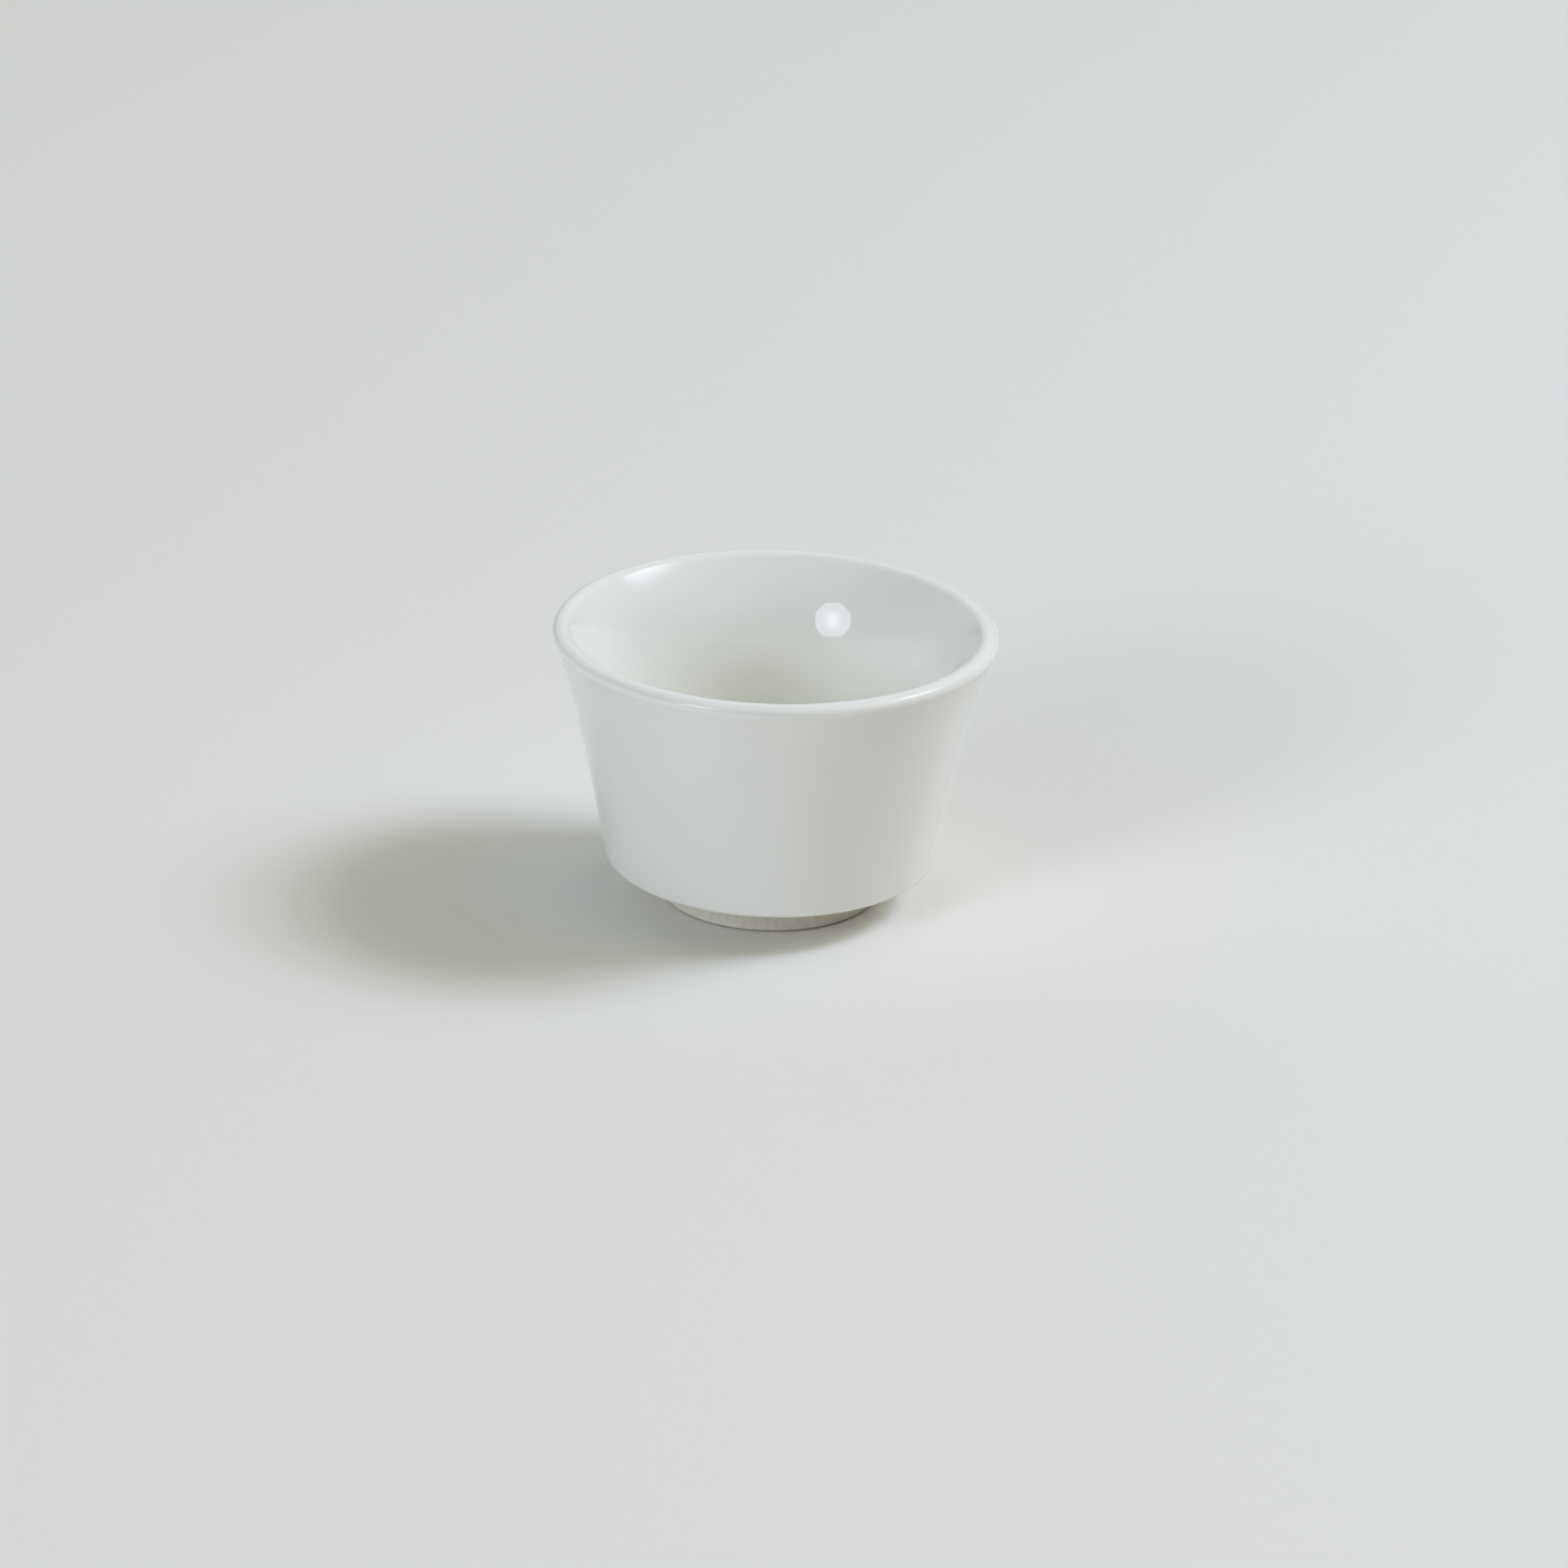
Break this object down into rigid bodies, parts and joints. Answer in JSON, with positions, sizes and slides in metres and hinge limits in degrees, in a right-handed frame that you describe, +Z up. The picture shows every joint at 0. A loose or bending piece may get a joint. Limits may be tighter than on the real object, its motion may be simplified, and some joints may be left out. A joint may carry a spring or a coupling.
{
  "type": "tasting cup",
  "caption": "Handleless white porcelain tasting cup with a flared mouth, rounded lip, tapered wall and a narrow set-back foot ring, glossy glaze all over but the standing edge.",
  "frame": {"origin": "centre of the foot ring's standing face, on the table", "axes": "+Z up along the axis of revolution; the cup is round, so X and Y may point anywhere"},
  "size_m": [0.07, 0.07, 0.045],
  "materials": {
    "porcelain": "bare fired porcelain, fine-grained and matt",
    "glaze": "glossy clear glaze over white porcelain"
  },
  "bodies": {
    "root": {"bowl": "porcelain", "foot_ring": "porcelain", "liner_glaze": "glaze", "outer_glaze": "glaze", "base_glaze": "glaze"}
  },
  "joints": []
}
